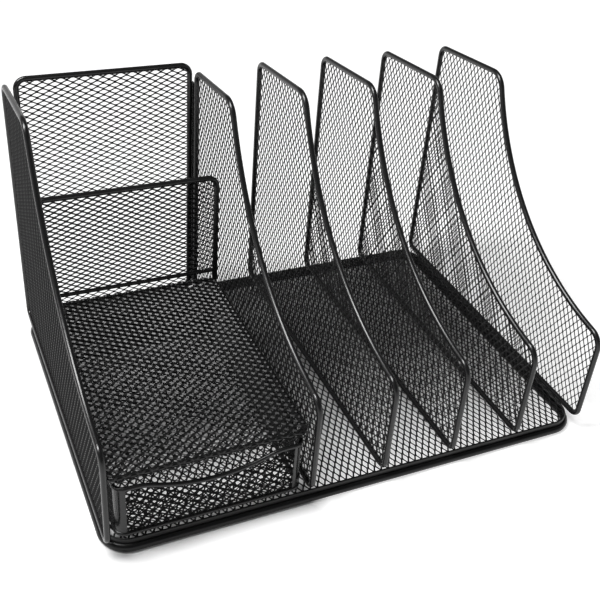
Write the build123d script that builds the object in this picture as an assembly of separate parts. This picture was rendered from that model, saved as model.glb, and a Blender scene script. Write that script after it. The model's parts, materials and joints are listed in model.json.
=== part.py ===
"""Mesh desk organizer with a drawer.

Black coated steel: expanded mesh sheets held in round wire rims, standing on a heavier base ring.
X runs to the right, Y to the rear and Z up. The origin is under the middle of the base, on the table.
All sizes are in millimetres.
"""
import os
from math import ceil, hypot

from build123d import *

# Layout of the upright panels, measured between the centre lines of their wires
bay_width = 135.0  # left panel to divider 1: the bay with the shelf and the drawer
slot_pitch = 53.75  # one divider to the next
slot_count = 4
panel_depth = 252.0  # front wire to rear wire

# Outline shared by the left panel and the dividers
rear_top_height = 202.5  # rear upper corner above the table
front_top_height = 211.0  # front upper corner above the table
top_length = 84.0  # upper edge, from the rear wire to the front upper corner
knee_height = 83.0  # where the swept front edge ends and the upright front edge starts
sweep_radius = 200.0  # hollow curve from the front upper corner to the knee
rear_top_round = 7.0
front_top_round = 14.0
knee_round = 11.0
foot_round = 6.0
divider_1_setback = 11.0  # divider 1 ends this far in front of the other rear edges

# Wires and sheets
rim_wire = 4.0  # diameter of the panel rims
shelf_wire = 3.5
drawer_wire = 3.0
base_wire = 6.0
sheet = 1.0  # thickness of the expanded mesh
weld_gap = 0.1  # seam between welded pieces

# Expanded mesh, drawn at five and a half times the real pitch of 8.4 by 5.2
mesh_long = 46.0  # diamond spacing, long way
mesh_short = 28.5  # diamond spacing, short way
mesh_strand = 5.0  # width of the strands between two diamonds
mesh_border = 2.0  # plain edge left beside a rim
smallest_gap_share = 0.06  # diamonds cut smaller than this share of a whole one stay closed

# Base
skirt_drop = 4.3  # height of the floor's turned-down edge
base_corner_round = 17.0  # corners of the base ring, seen from above
base_front_inset = 1.0  # ring behind the panels' front wires, and in front of their rear wires
floor_edge_bend = 1.5  # round where the floor turns down
base_flat = 0.4  # the ring's underside is pressed flat this deep, where it stands on the table

# Rear panel of the left bay
rear_panel_top = 206.5
rear_panel_left_gap = 7.5  # left panel's plane to the rear panel's left post
rear_panel_inset = 2.0  # in front of the dividers' rear wires
rear_panel_round = 7.0
strip_thickness = 1.2
strip_bottom_gap = 4.0  # strip above the base floor
strip_top_gap = 9.5  # strip below the dividers' rear upper corners

# Letter slot wall, standing on the shelf
slot_wall_setback = 187.0  # behind the panels' front wires
slot_wall_rise = 90.0  # top wire above the shelf's wire
slot_wall_foot_rise = 11.0  # cross wire under its mesh, above the shelf's wire
slot_wall_foot_wire = 3.0
slot_wall_round = 7.0

# Shelf
shelf_height = 56.0  # centre of its wire above the table
shelf_front_setback = 8.0  # behind the panels' front wires
shelf_rear_lip = 2.5  # shelf's rear wire behind the letter slot wall
shelf_round = 5.0

# Drawer
drawer_side_gap = 3.5  # drawer to the side panels' wires
drawer_front_setback = 4.0  # centre of its front rim behind the panels' front wires
drawer_rear_gap = 6.0  # shut drawer in front of the shelf's rear wire
drawer_top_gap = 2.75  # drawer below the shelf's wire
drawer_scoop = 9.0  # how far the front rim dips in the middle
drawer_scoop_end = 5.0  # level part of the front rim beside each corner
scoop_turn_share = 0.25  # share of the dip's curve that turns down, the rest turns up again
drawer_corner_round = 6.0
drawer_run = 0.4  # drawer above the base floor

overrun = 5.0  # how far a cutting tool passes the piece it cuts


# Places that follow from the sizes above
overall_width = bay_width + slot_count * slot_pitch
left_x = -overall_width / 2
divider_x = [left_x + bay_width + slot_pitch * i for i in range(slot_count + 1)]
front_y = -panel_depth / 2
rear_y = panel_depth / 2
rim_radius = rim_wire / 2
base_radius = base_wire / 2
ring_centre_height = base_radius - base_flat
ring_top = ring_centre_height + base_radius
floor_height = ring_top + weld_gap + skirt_drop
foot_height = floor_height + weld_gap + rim_radius
sheet_reach = sheet / 2 + weld_gap  # from a panel's plane to whatever is welded on its mesh
bay_middle_x = left_x + bay_width / 2

os.makedirs("parts", exist_ok=True)


def save(name, *solids):
    """Write the solids of one node."""
    shape = solids[0] if len(solids) == 1 else Compound(children=list(solids))
    export_step(shape, f"parts/{name}.step")


def upright_yz(x):
    """Plane of a side panel at x: its own x is Y and its own y is Z."""
    return Plane(origin=(x, 0, 0), x_dir=(0, 1, 0), z_dir=(1, 0, 0))


def upright_xz(y):
    """Plane of a cross panel at y: its own x is X and its own y is Z."""
    return Plane(origin=(0, y, 0), x_dir=(1, 0, 0), z_dir=(0, -1, 0))


def level(z):
    """Horizontal plane at height z."""
    return Plane(origin=(0, 0, z))


def rounded(face, corners):
    """Round the corners of a flat face, given as pairs of a point and a radius."""
    for point, radius in corners:
        nearest = face.vertices().sort_by_distance(Vector(*point))[0]
        face = face.fillet_2d(radius, [nearest])
    return face


def tube(path, radius):
    """Round wire along a path."""
    start = path.position_at(0)
    section = Plane(origin=start, z_dir=path.tangent_at(0)) * Circle(radius)
    return sweep(section, path=path).solid()


def inset(face, distance):
    """The same outline, drawn in by a distance."""
    return offset(Sketch([face]), -distance, kind=Kind.INTERSECTION).face()


def diamonds(face, long_way_is_x):
    """Mesh gaps inside a flat outline, cut where the outline cuts them."""
    box = face.bounding_box()
    step_x = mesh_long if long_way_is_x else mesh_short
    step_y = mesh_short if long_way_is_x else mesh_long
    slant = hypot(step_x, step_y)
    half_x = (step_x - mesh_strand * slant / step_y) / 2
    half_y = (step_y - mesh_strand * slant / step_x) / 2
    corners = [(half_x, 0), (0, half_y), (-half_x, 0), (0, -half_y)]
    whole = make_face(Polyline(*corners, close=True)).face()
    columns = ceil(box.size.X / step_x) + 1
    rows = ceil(box.size.Y / step_y) + 1
    middle = box.center()
    gaps = []
    for i in range(-columns, columns + 1):
        for j in range(-rows, rows + 1):
            if (i + j) % 2:
                continue
            place = Pos(middle.X + i * step_x / 2, middle.Y + j * step_y / 2)
            cut = face & (place * whole)
            for piece in cut.faces() if cut else []:
                if piece.area > smallest_gap_share * whole.area:
                    gaps.append(piece)
    return gaps


def net(outline, plane, long_way_is_x):
    """Flat mesh sheet: one holed face, thickened about its plane."""
    gaps = diamonds(inset(outline, mesh_border), long_way_is_x)
    holed = Face(outline.outer_wire(), [gap.outer_wire() for gap in gaps])
    return extrude(plane * Sketch([holed]), sheet / 2, both=True).solid()


def rectangle(x_low, x_high, y_low, y_high, radius):
    """Rectangle with rounded corners, from its edges."""
    sketch = RectangleRounded(x_high - x_low, y_high - y_low, radius)
    return (Pos((x_low + x_high) / 2, (y_low + y_high) / 2) * sketch).face()


def pan(outline, top, drop, bend, long_way_is_x):
    """Level mesh sheet whose edge turns down, from its outer outline and the height of its top."""
    lower_edge = level(top - drop)
    shell = extrude(lower_edge * Sketch([outline]), drop)
    shell = fillet(shell.faces().sort_by(Axis.Z)[-1].edges(), bend)
    hollow = extrude(lower_edge * Sketch([inset(outline, sheet)]), drop - sheet)
    hollow = fillet(hollow.faces().sort_by(Axis.Z)[-1].edges(), bend - sheet)
    gaps = diamonds(inset(outline, bend + mesh_border), long_way_is_x)
    cut = extrude(level(top - sheet - overrun) * Sketch(gaps), sheet + 2 * overrun)
    return (shell - hollow - cut).solid()


def swept_outline(back_y):
    """Centre line of a side panel's wire, in Y and Z, for a rear edge at back_y."""
    slope = (front_top_height - rear_top_height) / top_length
    rear_foot = (back_y, foot_height)
    rear_top = (back_y, rear_top_height + slope * (rear_y - back_y))
    front_top = (rear_y - top_length, front_top_height)
    knee = (front_y, knee_height)
    front_foot = (front_y, foot_height)
    edges = [
        Line(rear_foot, rear_top),
        Line(rear_top, front_top),
        RadiusArc(front_top, knee, sweep_radius),
        Line(knee, front_foot),
        Line(front_foot, rear_foot),
    ]
    corners = [
        (rear_foot, foot_round),
        (rear_top, rear_top_round),
        (front_top, front_top_round),
        (knee, knee_round),
        (front_foot, foot_round),
    ]
    return rounded(make_face(edges).face(), corners)


def side_panel(back_y):
    """Swept panel in the plane of Y and Z: its wire loop and its mesh."""
    outline = swept_outline(back_y)
    rim = tube(upright_yz(0) * outline.outer_wire(), rim_radius)
    return rim, net(inset(outline, rim_radius + weld_gap), upright_yz(0), False)


def save_panel(name, panel, x):
    """Write a panel's loop and mesh, moved to x."""
    rim, mesh = panel
    save(f"{name}_rim", Pos(x, 0, 0) * rim)
    save(f"{name}_mesh", Pos(x, 0, 0) * mesh)


# Base: a ring on the table, and the floor whose edge turns down onto it
base_front_y = front_y + base_front_inset
base_rear_y = rear_y - base_front_inset
base_right_x = divider_x[-1]
base_outline = rectangle(left_x, base_right_x, base_front_y, base_rear_y, base_corner_round)
ring = tube(level(ring_centre_height) * base_outline.outer_wire(), base_radius)
ring_size = (overall_width + base_wire + overrun, panel_depth + base_wire + overrun, base_wire)
under_table = Box(*ring_size, align=(Align.CENTER, Align.CENTER, Align.MAX))
save("base_ring", (ring - under_table).solid())

skirt_outside = offset(Sketch([base_outline]), sheet / 2).face()
save("base_floor", pan(skirt_outside, floor_height, skirt_drop, floor_edge_bend, False))

# Side panel and dividers, all of one outline
full_panel = side_panel(rear_y)
short_panel = side_panel(rear_y - divider_1_setback)
save_panel("left_panel", full_panel, left_x)
for number, x in enumerate(divider_x, start=1):
    save_panel(f"divider_{number}", short_panel if number == 1 else full_panel, x)

# Rear panel of the left bay, and the strip that closes its corner with divider 1
rear_panel_y = rear_y - rear_panel_inset
strip_x = divider_x[0]
rear_left_x = left_x + rear_panel_left_gap
rear_right_x = strip_x - strip_thickness / 2 - weld_gap - rim_radius
rear_outline = rectangle(rear_left_x, rear_right_x, foot_height, rear_panel_top, rear_panel_round)
save("rear_panel_rim", tube(upright_xz(rear_panel_y) * rear_outline.outer_wire(), rim_radius))
rear_net_outline = inset(rear_outline, rim_radius + weld_gap)
save("rear_panel_mesh", net(rear_net_outline, upright_xz(rear_panel_y), True))

strip_front_y = rear_y - divider_1_setback + rim_radius + weld_gap
strip_low = floor_height + strip_bottom_gap
strip_high = rear_top_height - strip_top_gap
strip_middle = Pos((strip_front_y + rear_y) / 2, (strip_low + strip_high) / 2)
strip_face = strip_middle * Rectangle(rear_y - strip_front_y, strip_high - strip_low)
save("rear_corner_strip", extrude(upright_yz(strip_x) * strip_face, strip_thickness / 2, both=True).solid())

# Shelf over the drawer: a wire loop, and the mesh laid over it with its edge wrapped round the wire
shelf_radius = shelf_wire / 2
shelf_wrap = shelf_radius + weld_gap + sheet  # from the wire's centre to the outside of the mesh
slot_wall_y = front_y + slot_wall_setback
shelf_left_x = left_x + sheet_reach + shelf_wrap
shelf_right_x = divider_x[0] - sheet_reach - shelf_wrap
shelf_front_y = front_y + shelf_front_setback
shelf_rear_y = slot_wall_y + shelf_rear_lip
shelf_outline = rectangle(shelf_left_x, shelf_right_x, shelf_front_y, shelf_rear_y, shelf_round)
save("shelf_rim", tube(level(shelf_height) * shelf_outline.outer_wire(), shelf_radius))
shelf_top = shelf_height + shelf_wrap
shelf_outside = offset(Sketch([shelf_outline]), shelf_wrap).face()
save("shelf_mesh", pan(shelf_outside, shelf_top, shelf_wrap + shelf_radius, shelf_wrap, True))

# Wall of the letter slot: a wire arch on the shelf, a cross wire and the mesh between them
post_left_x = left_x + sheet_reach + rim_radius
post_right_x = divider_x[0] - sheet_reach - rim_radius
post_foot = shelf_top + weld_gap
slot_wall_top = shelf_height + slot_wall_rise
slot_wall_foot_height = shelf_height + slot_wall_foot_rise
arch = FilletPolyline(
    (post_left_x, post_foot),
    (post_left_x, slot_wall_top),
    (post_right_x, slot_wall_top),
    (post_right_x, post_foot),
    radius=slot_wall_round,
)
save("slot_wall_rim", tube(upright_xz(slot_wall_y) * arch.wire(), rim_radius))
seam = rim_radius + weld_gap
foot_wire_radius = slot_wall_foot_wire / 2
foot_wire_path = Line(
    (post_left_x + seam, slot_wall_foot_height),
    (post_right_x - seam, slot_wall_foot_height),
)
save("slot_wall_foot_wire", tube(upright_xz(slot_wall_y) * foot_wire_path.edge(), foot_wire_radius))
wall_low = slot_wall_foot_height + foot_wire_radius + weld_gap
wall_high = slot_wall_top - seam
wall_outline = rectangle(
    post_left_x + seam, post_right_x - seam, wall_low, wall_high, slot_wall_round - seam
)
save("slot_wall_mesh", net(wall_outline, upright_xz(slot_wall_y), True))

# Drawer: bottom ring and floor, four mesh walls, corner strips and the scooped rim
drawer_radius = drawer_wire / 2
drawer_top_height = shelf_height - shelf_radius - drawer_top_gap - drawer_radius
drawer_reach = rim_radius + drawer_side_gap + drawer_radius  # from a side panel to the drawer's wires
drawer_left_x = left_x + drawer_reach
drawer_right_x = divider_x[0] - drawer_reach
drawer_front_y = front_y + drawer_front_setback
drawer_rear_y = shelf_rear_y - drawer_rear_gap - drawer_radius
drawer_plan = (drawer_left_x, drawer_right_x, drawer_front_y, drawer_rear_y)
drawer_outline = rectangle(*drawer_plan, drawer_corner_round)
drawer_bottom = floor_height + drawer_run + drawer_radius
bottom_ring = level(drawer_bottom) * drawer_outline.outer_wire()
save("drawer_bottom_ring", tube(bottom_ring, drawer_radius))
drawer_floor_outline = inset(drawer_outline, drawer_radius + weld_gap)
save("drawer_floor", net(drawer_floor_outline, level(drawer_bottom), True))

wall_bottom = drawer_bottom + drawer_radius + weld_gap
wall_top = drawer_top_height - drawer_radius - weld_gap
side_low = drawer_front_y + drawer_corner_round + weld_gap
side_high = drawer_rear_y - drawer_corner_round - weld_gap
cross_low = drawer_left_x + drawer_corner_round + weld_gap
cross_high = drawer_right_x - drawer_corner_round - weld_gap
side_wall = Pos((side_low + side_high) / 2, (wall_bottom + wall_top) / 2)
side_wall = (side_wall * Rectangle(side_high - side_low, wall_top - wall_bottom)).face()
save("drawer_side_left", net(side_wall, upright_yz(drawer_left_x), True))
save("drawer_side_right", net(side_wall, upright_yz(drawer_right_x), True))
back_wall = Pos((cross_low + cross_high) / 2, (wall_bottom + wall_top) / 2)
back_wall = (back_wall * Rectangle(cross_high - cross_low, wall_top - wall_bottom)).face()
save("drawer_back", net(back_wall, upright_xz(drawer_rear_y), True))


def scoop_line(x_low, x_high, high):
    """Front rim seen from the front: level beside the corners and dipped between them."""
    half_dip = (drawer_right_x - drawer_left_x) / 2 - drawer_corner_round - drawer_scoop_end
    both_radii = (half_dip**2 + drawer_scoop**2) / (2 * drawer_scoop)
    turn_radius = scoop_turn_share * both_radii
    in_x = bay_middle_x - half_dip
    out_x = bay_middle_x + half_dip
    shift_x = scoop_turn_share * half_dip
    shift_z = turn_radius - scoop_turn_share * (both_radii - drawer_scoop)
    return [
        Line((x_low, high), (in_x, high)),
        TangentArc((in_x, high), (in_x + shift_x, high - shift_z), tangent=(1, 0)),
        ThreePointArc(
            (in_x + shift_x, high - shift_z),
            (bay_middle_x, high - drawer_scoop),
            (out_x - shift_x, high - shift_z),
        ),
        TangentArc((out_x, high), (out_x - shift_x, high - shift_z), tangent=(-1, 0)),
        Line((out_x, high), (x_high, high)),
    ]


def corner_strip(x, y, turn):
    """Plain strip bent round one upright corner of the drawer."""
    outer = drawer_corner_round + sheet / 2
    inner = drawer_corner_round - sheet / 2
    arcs = [
        CenterArc((0, 0), outer, turn, 90),
        CenterArc((0, 0), inner, turn, 90),
    ]
    ends = [Line(arcs[0] @ share, arcs[1] @ share) for share in (0, 1)]
    face = make_face(arcs + ends)
    return extrude(level(wall_bottom) * (Pos(x, y) * face), wall_top - wall_bottom).solid()


inner_left_x = drawer_left_x + drawer_corner_round
inner_right_x = drawer_right_x - drawer_corner_round
inner_front_y = drawer_front_y + drawer_corner_round
inner_rear_y = drawer_rear_y - drawer_corner_round
save(
    "drawer_corner_strips",
    corner_strip(inner_right_x, inner_rear_y, 0),
    corner_strip(inner_left_x, inner_rear_y, 90),
    corner_strip(inner_left_x, inner_front_y, 180),
    corner_strip(inner_right_x, inner_front_y, 270),
)

front_wall_top = wall_top - weld_gap
front_wall = make_face(
    scoop_line(cross_low, cross_high, front_wall_top)
    + [
        Line((cross_high, front_wall_top), (cross_high, wall_bottom)),
        Line((cross_high, wall_bottom), (cross_low, wall_bottom)),
        Line((cross_low, wall_bottom), (cross_low, front_wall_top)),
    ]
).face()
save("drawer_front", net(front_wall, upright_xz(drawer_front_y), True))

level_edges = (level(drawer_top_height) * drawer_outline).edges().sort_by(Axis.Y)[1:]
scoop = scoop_line(inner_left_x, inner_right_x, drawer_top_height)
scoop_edges = [(upright_xz(drawer_front_y) * line).edge() for line in scoop]
save("drawer_rim", tube(Wire(scoop_edges + level_edges), drawer_radius))
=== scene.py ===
# %% [markdown]
# # A mesh desk organizer with a drawer
# The real thing is a welded frame of round steel wire. Sheets of expanded metal fill the wire loops, and
# everything is coated in satin black powder. The solid model gives the frame: its wires have the right
# shape already. Its sheets are drawn with large diamonds, so this lesson makes the real, fine mesh.

# %% The solid model, which everything else is fitted to
import json
from collections import namedtuple
from math import ceil, floor, pi, radians

import bpy
import numpy as np
from mathutils import Matrix, Vector


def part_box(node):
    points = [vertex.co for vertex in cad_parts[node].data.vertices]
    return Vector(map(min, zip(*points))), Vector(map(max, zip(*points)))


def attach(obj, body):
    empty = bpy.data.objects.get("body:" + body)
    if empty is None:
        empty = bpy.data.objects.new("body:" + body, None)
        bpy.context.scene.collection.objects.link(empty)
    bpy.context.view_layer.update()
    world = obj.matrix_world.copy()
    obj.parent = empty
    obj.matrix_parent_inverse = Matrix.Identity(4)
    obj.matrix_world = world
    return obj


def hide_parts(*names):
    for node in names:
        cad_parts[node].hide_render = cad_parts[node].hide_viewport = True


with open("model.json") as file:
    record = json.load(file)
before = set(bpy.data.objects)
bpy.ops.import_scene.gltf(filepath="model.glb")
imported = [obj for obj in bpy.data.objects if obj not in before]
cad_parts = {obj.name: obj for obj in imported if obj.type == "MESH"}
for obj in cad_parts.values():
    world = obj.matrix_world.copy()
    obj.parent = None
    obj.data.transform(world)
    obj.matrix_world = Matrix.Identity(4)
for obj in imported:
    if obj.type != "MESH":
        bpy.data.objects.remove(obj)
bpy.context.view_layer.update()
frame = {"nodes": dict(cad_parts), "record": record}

MM = 0.001
nodes = frame["nodes"]

# %% [markdown]
# ## Writing nodes as sums
# A node tree is easier to read as arithmetic than as a list of links. The class below stands for one
# socket. Adding two of them puts a Math node in the tree, and `add` makes any other node.


# %% A socket that can be used in Python sums
class Flow:
    """One output socket of a node tree, which can be used like a number."""

    def __init__(self, tree, socket):
        self.tree = tree
        self.socket = socket

    def math(self, operation, *values):
        return add(self.tree, "ShaderNodeMath", {"operation": operation}, dict(enumerate(values)))[0]

    def __add__(self, other):
        return self.math("ADD", self, other)

    def __sub__(self, other):
        return self.math("SUBTRACT", self, other)

    def __rsub__(self, other):
        return self.math("SUBTRACT", other, self)

    def __neg__(self):
        return self.math("MULTIPLY", self, -1.0)

    def __abs__(self):
        return self.math("ABSOLUTE", self)

    def __mul__(self, other):
        return self.math("MULTIPLY", self, other)

    def __truediv__(self, other):
        return self.math("DIVIDE", self, other)

    def __mod__(self, other):
        return self.math("FLOORED_MODULO", self, other)

    def __floor__(self):
        return self.math("FLOOR", self)

    def __ceil__(self):
        return self.math("CEIL", self)

    __radd__ = __add__
    __rmul__ = __mul__


class Node:
    """A node whose outputs are read by name or number."""

    def __init__(self, tree, node):
        self.tree = tree
        self.node = node

    def __getitem__(self, name):
        return Flow(self.tree, self.node.outputs[name])


def add(tree, kind, settings=None, values=None):
    """Put a node in a tree: its settings first, then the values or links of its sockets."""
    node = tree.nodes.new(kind)
    for name, value in (settings or {}).items():
        setattr(node, name, value)
    for name, value in (values or {}).items():
        if isinstance(value, Flow):
            tree.links.new(value.socket, node.inputs[name])
        else:
            node.inputs[name].default_value = value
    return Node(tree, node)


print("helpers for node trees:", Flow.__name__, Node.__name__, add.__name__)

# %% [markdown]
# ## Black powder coat
# Powder is sprayed on dry and melted in an oven. It levels to a satin film with a fine orange-peel
# ripple, a little duller in some places than in others. The three coats here are one recipe with two
# noises: a slow one varies colour and roughness over the part, and a far finer one is the ripple.

# %% Powder coat materials
DEEP_BLACK = 0.003
PALE_BLACK = 0.007
COLD = 1.04  # blue, beside red and green
CLOUD_SIZE = 30 * MM  # spacing of the slow changes in colour and gloss
CLOUD_DETAIL = 3.0
CLOUD_SHARE = 0.7  # of the change in roughness; the ripple gives the rest
RIPPLE_SIZE = 0.9 * MM  # spacing of the orange peel
RIPPLE_DETAIL = 2.0
RIPPLE_HEIGHT = 0.1 * MM
COAT_IOR = 1.45


def near_black(grey):
    return grey, grey, grey * COLD, 1


def powder_coat(name, satin, matt, ripple, gloss):
    """Satin black coat between two roughnesses, with an orange-peel bump."""
    material = bpy.data.materials.new(name)
    material.use_nodes = True
    tree = material.node_tree
    shader = tree.nodes["Principled BSDF"]
    place = add(tree, "ShaderNodeTexCoord")["Object"]

    def noise(size, detail):
        values = {"Vector": place, "Scale": 1 / size, "Detail": detail}
        return add(tree, "ShaderNodeTexNoise", {}, values)["Fac"]

    cloud = noise(CLOUD_SIZE, CLOUD_DETAIL)
    grain = noise(RIPPLE_SIZE, RIPPLE_DETAIL)
    mix = add(tree, "ShaderNodeMix", {"data_type": "RGBA"}, {"Factor": cloud})
    colours = [socket for socket in mix.node.inputs if socket.type == "RGBA"]
    colours[0].default_value = near_black(DEEP_BLACK)
    colours[1].default_value = near_black(PALE_BLACK)
    mixed = next(socket for socket in mix.node.outputs if socket.type == "RGBA")
    tree.links.new(mixed, shader.inputs["Base Color"])
    rough = satin + (matt - satin) * (cloud * CLOUD_SHARE + grain * (1 - CLOUD_SHARE))
    tree.links.new(rough.socket, shader.inputs["Roughness"])
    relief = {"Height": grain, "Strength": ripple, "Distance": RIPPLE_HEIGHT}
    bump = add(tree, "ShaderNodeBump", {}, relief)
    tree.links.new(bump["Normal"].socket, shader.inputs["Normal"])
    shader.inputs["IOR"].default_value = COAT_IOR
    shader.inputs["Specular IOR Level"].default_value = gloss
    return material


wire_coat = powder_coat("wire_coat", satin=0.20, matt=0.30, ripple=0.25, gloss=0.5)
mesh_coat = powder_coat("mesh_coat", satin=0.26, matt=0.40, ripple=0.15, gloss=0.45)
base_coat = powder_coat("base_coat", satin=0.24, matt=0.36, ripple=0.25, gloss=0.3)
coats = {"wire_coat": wire_coat, "mesh_coat": mesh_coat, "base_coat": base_coat}
for subpart in frame["record"]["subparts"]:
    node = nodes[subpart["node"]]
    node.data.materials.clear()
    node.data.materials.append(coats[subpart["material_slot"]])
print("coats:", ", ".join(coats))

# %% [markdown]
# ## Expanded mesh
# Expanded metal is a sheet that is slit in staggered rows and pulled. Each strip between two rows of
# slits becomes a zigzag strand that stays joined to its neighbours at short flats, the bonds, and the
# pull makes every strand lean out of the sheet. So one zigzag, repeated row by row with every other row
# moved by half a diamond, is the whole pattern. A texture could fake it, but light falls through the
# real thing, so a Geometry Nodes tree makes it in three steps: it lays the rows over a panel's outline,
# cuts each stretch of strand at the outline, and sweeps a small rectangle along what is left.

# %% First step: rows of zigzags that cover the outline
SPARE_BONDS = 2  # past each end of a row
SPARE_ROWS = 1  # past the first and the last row


def vector(tree, x, y):
    return add(tree, "ShaderNodeCombineXYZ", {}, {"X": x, "Y": y})["Vector"]


def along_axes(tree, value):
    """Node with the X, Y and Z of a vector."""
    return add(tree, "ShaderNodeSeparateXYZ", {}, {"Vector": value})


def line(tree, count, position):
    """Row of joined points at the positions that a field gives."""
    points = add(tree, "GeometryNodeMeshLine", {}, {"Count": count})["Mesh"]
    moved = {"Geometry": points, "Position": position}
    return add(tree, "GeometryNodeSetPosition", {}, moved)["Geometry"]


def zigzag_rows(tree, given):
    """Zigzag lines over the outline's box, every other one moved by half a diamond."""
    step_x = given["Long Way"] / 2
    step_y = given["Short Way"] / 2
    strand = given["Strand"]
    shift = along_axes(tree, given["Shift"])
    box = add(tree, "GeometryNodeBoundBox", {}, {"Geometry": given["Outline"]})
    low = along_axes(tree, box["Min"])
    high = along_axes(tree, box["Max"])
    bond_count = ceil((high["X"] - low["X"]) / step_x) + 2 * SPARE_BONDS
    row_count = ceil((high["Y"] - low["Y"]) / step_y) + 2 * SPARE_ROWS + 1
    index = add(tree, "GeometryNodeInputIndex")["Index"]

    # A zigzag has two points for each bond, which lies low and high in turn
    bond = floor(index / 2)
    bond_x = low["X"] + shift["X"] + (bond - SPARE_BONDS) * step_x + (index % 2 - 0.5) * given["Bond"]
    bond_y = strand / 2 + (bond % 2) * (step_y - strand)
    zigzag = line(tree, bond_count * 2, vector(tree, bond_x, bond_y))

    row_y = low["Y"] + shift["Y"] + (index - SPARE_ROWS) * step_y
    rows = line(tree, row_count, vector(tree, (index % 2) * step_x, row_y))
    strands = add(tree, "GeometryNodeInstanceOnPoints", {}, {"Points": rows, "Instance": zigzag})
    return add(tree, "GeometryNodeRealizeInstances", {}, {"Geometry": strands["Instances"]})["Geometry"]


print("spare bonds and rows:", SPARE_BONDS, "and", SPARE_ROWS)

# %% Second step: cut the strands at the outline
REACH = 50 * MM  # above and below the sheet, for the rays that find its edge
JOIN = 0.002 * MM  # ends nearer than this are one point


def vector_math(tree, operation, first, second):
    return add(tree, "ShaderNodeVectorMath", {"operation": operation}, {0: first, 1: second})["Vector"]


def ray(tree, target, start, direction, length):
    values = {"Target Geometry": target, "Source Position": start}
    values.update({"Ray Direction": direction, "Ray Length": length})
    return add(tree, "GeometryNodeRaycast", {}, values)


def cut_strands(tree, strands, outline):
    """The parts of some strands that lie inside an outline."""
    # Each stretch gets two points of its own, so that it can be cut by itself
    pairs = {"Geometry": strands, "Amount": 1}
    strands = add(tree, "GeometryNodeDuplicateElements", {"domain": "EDGE"}, pairs)["Geometry"]
    index = add(tree, "GeometryNodeInputIndex")["Index"]
    place = add(tree, "GeometryNodeInputPosition")["Position"]
    other_end = index + 1 - (index % 2) * 2

    def at_other_end(kind, value):
        settings = {"domain": "POINT", "data_type": kind}
        return add(tree, "GeometryNodeFieldAtIndex", settings, {"Value": value, "Index": other_end})[0]

    above = vector_math(tree, "ADD", place, (0, 0, REACH))
    inside = ray(tree, outline, above, (0, 0, -1), 2 * REACH)["Is Hit"]
    other_inside = at_other_end("FLOAT", inside * 1)
    other_place = at_other_end("FLOAT_VECTOR", place)
    gone = {"Geometry": strands, "Selection": (1 - inside) * (1 - other_inside)}
    strands = add(tree, "GeometryNodeDeleteGeometry", {"domain": "POINT"}, gone)["Geometry"]

    # A fence along the outline stops the stretches that cross it
    upright = {"Mesh": outline, "Offset": (0, 0, 1), "Offset Scale": 2 * REACH, "Individual": False}
    fence = add(tree, "GeometryNodeExtrudeMesh", {"mode": "FACES"}, upright)["Mesh"]
    lowered = {"Geometry": fence, "Translation": (0, 0, -REACH)}
    fence = add(tree, "GeometryNodeTransform", {}, lowered)["Geometry"]
    outwards = vector_math(tree, "SUBTRACT", place, other_place)
    length = add(tree, "ShaderNodeVectorMath", {"operation": "LENGTH"}, {0: outwards})["Value"]
    stop = ray(tree, fence, other_place, outwards, length)
    crossing = (1 - inside) * stop["Is Hit"]
    cut = {"Geometry": strands, "Selection": crossing, "Position": stop["Hit Position"]}
    strands = add(tree, "GeometryNodeSetPosition", {}, cut)["Geometry"]
    joined = {"Geometry": strands, "Distance": JOIN}
    return add(tree, "GeometryNodeMergeByDistance", {}, joined)["Geometry"]


print("rays reach", REACH / MM, "mm to both sides of a sheet")


# %% Third step: sweep the strands as leaning strips
def sweep_strips(tree, strands, given):
    """Strips with a rectangular section along some strands."""
    curves = add(tree, "GeometryNodeMeshToCurve", {}, {"Mesh": strands})["Curve"]
    curves = add(tree, "GeometryNodeSubdivideCurve", {}, {"Curve": curves, "Cuts": given["Cuts"]})["Curve"]
    curves = add(tree, "GeometryNodeSetCurveNormal", {"mode": "Z_UP"}, {"Curve": curves})["Curve"]
    curves = add(tree, "GeometryNodeSetCurveTilt", {}, {"Curve": curves, "Tilt": given["Lean"]})["Curve"]
    section = {"Width": given["Strand"], "Height": given["Sheet"]}
    section = add(tree, "GeometryNodeCurvePrimitiveQuadrilateral", {}, section)["Curve"]
    swept = {"Curve": curves, "Profile Curve": section, "Fill Caps": True}
    return add(tree, "GeometryNodeCurveToMesh", {}, swept)["Mesh"]


def expanded_mesh_tree():
    """Geometry Nodes tree: a flat outline in, its mesh of leaning zigzag strands out."""
    tree = bpy.data.node_groups.new("expanded_mesh", "GeometryNodeTree")
    inputs = {
        "Outline": "NodeSocketGeometry",
        "Long Way": "NodeSocketFloat",
        "Short Way": "NodeSocketFloat",
        "Bond": "NodeSocketFloat",
        "Strand": "NodeSocketFloat",
        "Sheet": "NodeSocketFloat",
        "Lean": "NodeSocketFloat",
        "Shift": "NodeSocketVector",
        "Cuts": "NodeSocketInt",
        "Coat": "NodeSocketMaterial",
    }
    for name, kind in inputs.items():
        tree.interface.new_socket(name, in_out="INPUT", socket_type=kind)
    tree.interface.new_socket("Mesh", in_out="OUTPUT", socket_type="NodeSocketGeometry")
    given = add(tree, "NodeGroupInput")
    strands = cut_strands(tree, zigzag_rows(tree, given), given["Outline"])
    solid = sweep_strips(tree, strands, given)
    solid = add(tree, "GeometryNodeRealizeInstances", {}, {"Geometry": solid})["Geometry"]
    coated = {"Geometry": solid, "Material": given["Coat"]}
    coated = add(tree, "GeometryNodeSetMaterial", {}, coated)["Geometry"]
    add(tree, "NodeGroupOutput", {}, {"Mesh": coated})
    return tree


mesh_tree = expanded_mesh_tree()
print("expanded mesh tree:", len(mesh_tree.nodes), "nodes")

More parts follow.
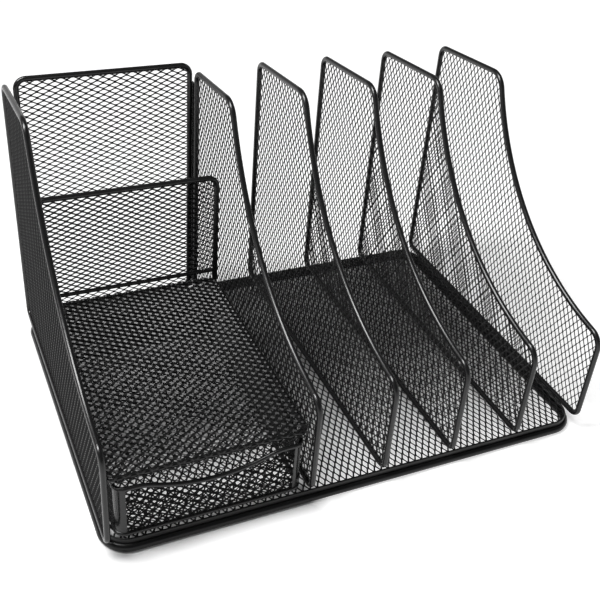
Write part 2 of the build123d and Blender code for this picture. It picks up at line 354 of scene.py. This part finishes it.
# %% [markdown]
# ## Outlines from the solid model
# Each sheet of the solid model has the right edge, so the edge is read from it: the triangles of its
# upper face share every side but those on the rim and round the gaps, and the widest chain of unshared
# sides is the outline. It is grown a little, so that the strands end inside the wire they are welded to.

# %% Read a sheet's outline
GRIP = 1.0 * MM  # strands reach this far into a wire
SAME_PLANE = 0.02 * MM
SAME_CORNER = 6  # decimals of a metre


def sheet_edge(node):
    """Thin axis of a flat CAD sheet, and the loop of points round its upper face."""
    low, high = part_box(node)
    thin = min(range(3), key=lambda i: high[i] - low[i])
    mesh = nodes[node].data
    corners = [tuple(round(c, SAME_CORNER) for c in v.co) for v in mesh.vertices]
    sides = set()
    for face in mesh.polygons:
        points = [corners[i] for i in face.vertices]
        if all(abs(p[thin] - high[thin]) < SAME_PLANE for p in points):
            sides.update(zip(points, points[1:] + points[:1]))
    following = {a: b for a, b in sides if (b, a) not in sides}
    loops = []
    while following:
        start, point = following.popitem()
        loop = [start]
        while point != start:
            loop.append(point)
            point = following.pop(point)
        loops.append(np.array(loop))
    return thin, max(loops, key=lambda loop: np.ptp(loop, axis=0).sum())


def grown(loop, distance):
    """A flat anticlockwise loop moved outwards by a distance."""
    before = loop - np.roll(loop, 1, axis=0)
    after = np.roll(loop, -1, axis=0) - loop
    out = [np.stack([side[:, 1], -side[:, 0]], axis=1) for side in (before, after)]
    out = [side / np.linalg.norm(side, axis=1, keepdims=True) for side in out]
    middle = out[0] + out[1]
    scale = distance / (middle * out[0]).sum(axis=1, keepdims=True)
    return loop + middle * scale


print("points round the left panel:", len(sheet_edge("left_panel_mesh")[1]))

# %% [markdown]
# ## Kinds of mesh
# The pitch of most sheets was measured in the photograph. The strands are too fine to measure there: their
# width, bond and lean are guesses, changed from sheet to sheet until each one let about as much white
# through as in the photograph. The drawer's back and floor are hidden there, and were chosen for how the
# shelf and the drawer's front look with them behind. The low wall stands in front of the rear panel. Its
# diamonds are smaller and shifted, so that both patterns line up in the photograph's view and make no
# moire there.

# %% Mesh sizes, in millimetres, with the lean in degrees
Stock = namedtuple("Stock", "long_way short_way bond strand sheet lean shift", defaults=[(0, 0)])
side_stock = Stock(long_way=8.4, short_way=5.3, bond=1.3, strand=0.67, sheet=0.25, lean=60)
rear_stock = Stock(long_way=8.5, short_way=4.5, bond=1.3, strand=0.93, sheet=0.35, lean=20)
wall_stock = Stock(
    long_way=7.647, short_way=4.0485, bond=1.2, strand=0.80, sheet=0.30, lean=20, shift=(0.41, 1.55)
)
drawer_front_stock = Stock(long_way=8.4, short_way=5.3, bond=1.3, strand=0.90, sheet=0.40, lean=-58)
drawer_back_stock = Stock(long_way=8.4, short_way=5.3, bond=1.3, strand=1.80, sheet=0.40, lean=-40)
drawer_floor_stock = Stock(long_way=8.4, short_way=5.3, bond=1.3, strand=0.60, sheet=0.30, lean=0)
shelf_stock = Stock(long_way=8.4, short_way=5.3, bond=2.0, strand=1.15, sheet=0.40, lean=31)
floor_stock = Stock(long_way=8.4, short_way=5.3, bond=1.3, strand=1.18, sheet=0.40, lean=20)
print("side panels:", side_stock)

# %% [markdown]
# ## Filling the panels
# A panel is worked out lying flat, with the long way of the diamonds along X, and is then stood up by
# one matrix. In the photograph the diamonds stand upright in the side panels and lie level in the cross
# panels, the shelf and the drawer. The strands keep flat faces, because it is their flat sides that catch
# the lamp and make the shelf look grey.


# %% Fill an outline
def evaluated_mesh(thing, name):
    """Plain mesh of an object with its modifiers applied."""
    graph = bpy.context.evaluated_depsgraph_get()
    mesh = bpy.data.meshes.new_from_object(thing.evaluated_get(graph), depsgraph=graph)
    mesh.name = name
    return mesh


def fill(name, points, faces, stand, stock, cuts=0):
    """Mesh piece over a flat outline, moved to its place by the matrix stand."""
    flat = bpy.data.meshes.new(name + "_outline")
    flat.from_pydata([(x, y, 0) for x, y in points], [], faces)
    thing = bpy.data.objects.new(name + "_outline", flat)
    bpy.context.scene.collection.objects.link(thing)
    modifier = thing.modifiers.new("expanded_mesh", "NODES")
    modifier.node_group = mesh_tree
    sizes = {
        "Long Way": stock.long_way * MM,
        "Short Way": stock.short_way * MM,
        "Bond": stock.bond * MM,
        "Strand": stock.strand * MM,
        "Sheet": stock.sheet * MM,
        "Lean": radians(stock.lean),
        "Shift": [value * MM for value in (*stock.shift, 0)],
        "Cuts": cuts,
        "Coat": mesh_coat,
    }
    for item in mesh_tree.interface.items_tree:
        if item.in_out == "INPUT" and item.name in sizes:
            modifier[item.identifier] = sizes[item.name]
    mesh = evaluated_mesh(thing, name)
    thing.modifiers.remove(modifier)
    bpy.data.objects.remove(thing)
    mesh.transform(stand)
    mesh.shade_flat()
    piece = bpy.data.objects.new(name, mesh)
    bpy.context.scene.collection.objects.link(piece)
    return piece


def settle(piece, body, *replaced):
    """Fix a mesh piece to its body, in place of CAD nodes."""
    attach(piece, body)
    if replaced:
        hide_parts(*replaced)


def triangles(piece):
    return sum(len(face.vertices) - 2 for face in piece.data.polygons)


print("helpers for pieces:", fill.__name__, settle.__name__, triangles.__name__)

# %% Fill every flat sheet
X, Y, Z = range(3)
AXES = [Vector((1, 0, 0)), Vector((0, 1, 0)), Vector((0, 0, 1))]


def stand_matrix(long_axis, thin, middle):
    """Matrix from flat to standing, for a sheet whose diamonds lie along long_axis."""
    along = AXES[long_axis]
    normal = AXES[thin]
    matrix = Matrix((along, normal.cross(along), normal)).transposed().to_4x4()
    matrix.translation = normal * middle
    return matrix


def laid_flat(loop, stand):
    """A standing loop of points in the flat X and Y."""
    return (loop @ np.array(stand.to_3x3()))[:, :2]


def one_face(points):
    return [list(range(len(points)))]


def fill_sheet(node, body, long_axis, stock):
    """Replace a flat CAD sheet by fine mesh over the same outline."""
    thin, loop = sheet_edge(node)
    low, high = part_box(node)
    stand = stand_matrix(long_axis, thin, (low[thin] + high[thin]) / 2)
    points = grown(laid_flat(loop, stand), GRIP)
    piece = fill(node.replace("_mesh", "") + "_net", points, one_face(points), stand, stock)
    settle(piece, body, node)
    print(piece.name, "triangles:", triangles(piece))


side_panels = ["left_panel"] + [f"divider_{number}" for number in range(1, 6)]
for panel in side_panels:
    fill_sheet(panel + "_mesh", "frame", Z, side_stock)
fill_sheet("rear_panel_mesh", "frame", X, rear_stock)
fill_sheet("slot_wall_mesh", "frame", X, wall_stock)
fill_sheet("drawer_floor", "drawer", X, drawer_floor_stock)
fill_sheet("drawer_front", "drawer", X, drawer_front_stock)
fill_sheet("drawer_back", "drawer", X, drawer_back_stock)
for drawer_side in ("drawer_side_left", "drawer_side_right"):
    fill_sheet(drawer_side, "drawer", Y, side_stock)

# %% [markdown]
# ## Sheets with a turned-down edge
# The floor and the shelf are pressed over their wires: near the edge the sheet bends down, over the base
# ring or round the shelf's wire. The flat part is filled like the other sheets. The edge is made as a
# flat band round it and then bent, point by point, about the line where the flat part ends.

# %% Bend the edge of a sheet
CAD_SHEET = 1.0 * MM  # thickness of the solid model's sheets
Bend = namedtuple("Bend", "middle core corner plane radius")


def turn_down(points, bend):
    """Points of a flat band with those outside the round-cornered flat part bent downwards."""
    plan = points[:, :2] - bend.middle
    nearest = np.clip(plan, -bend.core, bend.core)
    away = plan - nearest
    distance = np.linalg.norm(away, axis=1, keepdims=True)
    away = away / np.maximum(distance, JOIN)
    past = np.maximum(distance - bend.corner, 0)
    angle = np.minimum(past / bend.radius, pi / 2)
    drop = np.maximum(past - bend.radius * pi / 2, 0)
    radius = bend.radius + points[:, 2:] - bend.plane
    plan = bend.middle + nearest + away * (np.minimum(distance, bend.corner) + radius * np.sin(angle))
    height = bend.plane - bend.radius + radius * np.cos(angle) - drop
    return np.concatenate([plan, height], axis=1)


def bend_piece(piece, bend):
    """Turn down the edge of a flat piece."""
    points = np.empty(len(piece.data.vertices) * 3)
    piece.data.vertices.foreach_get("co", points)
    piece.data.vertices.foreach_set("co", turn_down(points.reshape(-1, 3), bend).ravel())
    piece.data.update()


def pan_sizes(node):
    """Flat outline of a CAD sheet with a turned-down edge, the edge's width, and how it bends."""
    low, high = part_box(node)
    loop = sheet_edge(node)[1]
    outer_radius = high.x - loop[:, 0].max()
    radius = outer_radius - CAD_SHEET / 2
    plane = high.z - CAD_SHEET / 2
    width = radius * pi / 2 + high.z - low.z - outer_radius
    middle = (loop.max(axis=0) + loop.min(axis=0))[:2] / 2
    side_end = loop[loop[:, 0] > loop[:, 0].max() - SAME_PLANE, 1].max()
    corner = loop[:, 1].max() - side_end
    core = np.ptp(loop, axis=0)[:2] / 2 - corner
    return loop, width, Bend(middle, core, corner, plane, radius)


def bands(rings, count):
    """Faces between rings of points that lie one outside the other."""
    faces = []
    for inner in range(0, (rings - 1) * count, count):
        outer = inner + count
        for i in range(count):
            following = (i + 1) % count
            faces.append([inner + i, outer + i, outer + following, inner + following])
    return faces


print("bend of the shelf's edge:", round(pan_sizes("shelf_mesh")[2].radius / MM, 2), "mm")

# %% The shelf's net, bent round its wire
EDGE_CUTS = 2  # extra points in each stretch of strand, so that it can follow the bend
loop, width, shelf_bend = pan_sizes("shelf_mesh")
shelf_stand = stand_matrix(X, Z, shelf_bend.plane)
flat = laid_flat(loop, shelf_stand)
shelf_net = fill("shelf_net", flat, one_face(flat), shelf_stand, shelf_stock)
edge = np.concatenate([flat, grown(flat, width)])
shelf_edge_net = fill("shelf_edge_net", edge, bands(2, len(flat)), shelf_stand, shelf_stock, EDGE_CUTS)
bend_piece(shelf_edge_net, shelf_bend)
settle(shelf_net, "frame", "shelf_mesh")
settle(shelf_edge_net, "frame")
print("shelf triangles:", triangles(shelf_net), "and in its edge", triangles(shelf_edge_net))

# %% The floor's net, and the plain hem that is pressed over the ring
HEM_RINGS = 10
loop, width, floor_bend = pan_sizes("base_floor")
floor_stand = stand_matrix(Y, Z, floor_bend.plane)
flat = laid_flat(loop, floor_stand)
floor_net = fill("base_floor_net", flat, one_face(flat), floor_stand, floor_stock)
rings = [grown(flat, part * width) for part in np.linspace(0, 1, HEM_RINGS)]
hem_mesh = bpy.data.meshes.new("base_hem")
hem_mesh.from_pydata([(x, y, 0) for x, y in np.concatenate(rings)], [], bands(HEM_RINGS, len(flat)))
hem_mesh.transform(floor_stand)
hem_mesh.materials.append(base_coat)
base_hem = bpy.data.objects.new("base_hem", hem_mesh)
bpy.context.scene.collection.objects.link(base_hem)
bend_piece(base_hem, floor_bend)
hem_mesh.shade_smooth()
hem_sheet = base_hem.modifiers.new("sheet", "SOLIDIFY")
hem_sheet.thickness = floor_stock.sheet * MM
hem_sheet.offset = 0
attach(base_hem, "frame")
settle(floor_net, "frame", "base_floor")
print("floor triangles:", triangles(floor_net), "and faces in its hem", len(hem_mesh.polygons))

# %% [markdown]
# ## White table
# The photograph is a cut-out on white. The table is white too, and what the camera sees of it round the
# organizer gets a glow of its own, up to white, which hides its horizon. The glow fades out at the base,
# so that the shadow there stays. Under the organizer the photograph is light behind the front of the
# slots and of the drawer, and dark towards the rear. The lamp alone doesn't give that, so the table
# glows or is darker in those places. This is staging, and no part of the organizer.

# %% The table's sheet
TABLE_SIZE = 6.0
half = TABLE_SIZE / 2
table_corners = [(-half, -half, 0), (half, -half, 0), (half, half, 0), (-half, half, 0)]
table_mesh = bpy.data.meshes.new("table")
table_mesh.from_pydata(table_corners, [], [(0, 1, 2, 3)])
table = bpy.data.objects.new("table", table_mesh)
bpy.context.scene.collection.objects.link(table)
print("table:", TABLE_SIZE, "m square")

# %% Where the table glows with painted light, and where it is darker with painted shade
TABLE_GLOW = 0.25  # under the lamp
GLOW_RISE = 0.5  # for each metre outside the lamp's reach, where less of its light arrives
LAMP_FOOT = (-0.6, 0.1, 0)  # middle of what it lights
LAMP_REACH = 0.5
GLOW_FADE = 15 * MM  # width of the fades at the base's edge and between the bays
# Painted light: the table glows under the front of the slots and of the drawer.
SLOT_GLOW = 0.62  # under the front of the slots
SLOT_FADE = 75 * MM
DRAWER_GLOW = 0.75  # under the front of the drawer
DRAWER_START = 12 * MM
DRAWER_FADE = 90 * MM
SHADE_FADE = 60 * MM  # from the end of the slots' glow to full shade
LETTER_START = 180 * MM  # behind this all of the table under the base is shaded


def larger(first, *others):
    """The largest of some values."""
    for other in others:
        first = first.math("MAXIMUM", first, other)
    return first


def share(value):
    """A value held between 0 and 1."""
    return value.math("MINIMUM", larger(value, 0.0), 1.0)


white = bpy.data.materials.new("white_table")
white.use_nodes = True
tree = white.node_tree
floor_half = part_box("base_floor")[1]
place = add(tree, "ShaderNodeTexCoord")["Object"]
spot = along_axes(tree, place)
distance = add(tree, "ShaderNodeVectorMath", {"operation": "DISTANCE"}, {0: place, 1: LAMP_FOOT})["Value"]
table_glow = share(TABLE_GLOW + GLOW_RISE * larger(distance - LAMP_REACH, 0.0))
# Less than 0 under the base
past_base = larger(abs(spot["X"]) - floor_half.x, abs(spot["Y"]) - floor_half.y)
outside = share(past_base / GLOW_FADE)
from_front = spot["Y"] + floor_half.y
# 1 to the right of the first divider, where the slots are, and 0 to its left
in_slots = share((spot["X"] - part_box("divider_1_rim")[0].x) / GLOW_FADE)
in_drawer = share((from_front - DRAWER_START) / GLOW_FADE) * (1 - in_slots)
under_slots = share(1 - from_front / SLOT_FADE) * in_slots
under_drawer = share(1 - from_front / DRAWER_FADE) * in_drawer
# The table's emission: even white round the base, and painted light under the front of the slots and of
# the drawer.
backdrop_and_painted_light = larger(outside * table_glow, under_slots * SLOT_GLOW, under_drawer * DRAWER_GLOW)
# Painted shade: the table's colour is darker under the rear of the slots, and under all of the base behind
# LETTER_START.
slot_shade = share((from_front - SLOT_FADE) / SHADE_FADE) * in_slots
letter_shade = share((from_front - LETTER_START) / GLOW_FADE)
shade = share(-past_base / GLOW_FADE) * larger(slot_shade, letter_shade)
print("nodes of the table's masks:", len(tree.nodes))

# %% The table's white
TABLE_WHITE = 0.8
TABLE_ROUGH = 0.9
SHADE_DEPTH = 0.55  # how much darker the table is in full shade


def seen_directly(tree):
    """1 for rays from the camera, off gloss or through glass, 0 for light that bounces about."""
    path = add(tree, "ShaderNodeLightPath")
    return path["Is Camera Ray"] + path["Is Glossy Ray"] + path["Is Transmission Ray"]


def grey_colour(tree, grey):
    return add(tree, "ShaderNodeCombineColor", {}, {"Red": grey, "Green": grey, "Blue": grey})["Color"]


shader = tree.nodes["Principled BSDF"]
shader.inputs["Roughness"].default_value = TABLE_ROUGH
shader.inputs["Specular IOR Level"].default_value = 0.0
# Painted shade darkens the table's colour under the rear of the organizer.
table_colour = grey_colour(tree, TABLE_WHITE * (1 - SHADE_DEPTH * shade))
tree.links.new(table_colour.socket, shader.inputs["Base Color"])
# Painted light: the emission that camera and gloss rays see on the table.
glow_colour = grey_colour(tree, seen_directly(tree) * backdrop_and_painted_light)
tree.links.new(glow_colour.socket, shader.inputs["Emission Color"])
shader.inputs["Emission Strength"].default_value = 1.0
table_mesh.materials.append(white)
print("table material:", white.name)

# %% [markdown]
# ## White room
# Rays from the camera and off gloss see white walls. For the light that falls on the organizer the room
# is only dim, and above the walls it is as dim for every ray, so that the wires' upper sides stay black.

# %% World
WORLD_LIGHT = 0.15
WALL_TOP = 0.15  # height on the unit sphere where the white walls begin to darken
CEILING_START = 0.35
world = bpy.data.worlds.new("white_room")
bpy.context.scene.world = world
world.use_nodes = True
tree = world.node_tree
backdrop = tree.nodes["Background"]
backdrop.inputs["Color"].default_value = (1, 1, 1, 1)
direction = add(tree, "ShaderNodeTexCoord")["Generated"]
height = along_axes(tree, direction)["Z"]
ceiling = {"Value": height, "From Min": WALL_TOP, "From Max": CEILING_START, "To Min": 1.0, "To Max": 0.0}
walls = add(tree, "ShaderNodeMapRange", {"clamp": True}, ceiling)["Result"]
strength = WORLD_LIGHT + (1 - WORLD_LIGHT) * walls * seen_directly(tree)
tree.links.new(strength.socket, backdrop.inputs["Strength"])
print("world:", world.name)

# %% [markdown]
# ## Lamp
# One softbox hangs above the organizer, to its left. It draws the light lines along the swept wires and
# lights the strands of the shelf that face it.

# %% Lamp
LAMP_PLACE = Vector((-0.75, 0.1, 1.3))
LAMP_AIM = Vector((0, 0, 0.05))
LAMP_WIDTH = 0.40
LAMP_LENGTH = 1.0  # in the upright plane of its aim
LAMP_POWER = 30  # watts
lamp = bpy.data.lights.new("overhead_left", "AREA")
lamp.energy = LAMP_POWER
lamp.shape = "RECTANGLE"
lamp.size = LAMP_WIDTH
lamp.size_y = LAMP_LENGTH
softbox = bpy.data.objects.new("overhead_left", lamp)
bpy.context.scene.collection.objects.link(softbox)
softbox.location = LAMP_PLACE
softbox.rotation_euler = (LAMP_AIM - LAMP_PLACE).to_track_quat("-Z", "Y").to_euler()
print("lamp:", softbox.name, LAMP_POWER, "W")

# %% [markdown]
# ## Camera
# The view was worked out from the photograph: the corners of the base, the dividers and the panels fix
# where the camera stood and how long its lens was.

# %% Camera
CAMERA_PLACE = Vector((-0.24927, -0.50391, 0.45858))
CAMERA_RIGHT = Vector((0.9135, -0.4004, 0.0718)).normalized()
CAMERA_FORWARD = Vector((0.3673, 0.7360, -0.5686)).normalized()
SENSOR_WIDTH = 36  # millimetres, as is the lens
LENS_LENGTH = 55.83
camera_up = CAMERA_RIGHT.cross(CAMERA_FORWARD)
lens = bpy.data.cameras.new("camera")
lens.sensor_width = SENSOR_WIDTH
lens.lens = LENS_LENGTH
camera = bpy.data.objects.new("camera", lens)
bpy.context.scene.collection.objects.link(camera)
turn = Matrix((CAMERA_RIGHT, camera_up, -CAMERA_FORWARD)).transposed().to_4x4()
camera.matrix_world = Matrix.Translation(CAMERA_PLACE) @ turn
bpy.context.scene.camera = camera
bpy.context.scene.view_settings.view_transform = "Standard"
print("camera at", [round(c, 3) for c in CAMERA_PLACE])
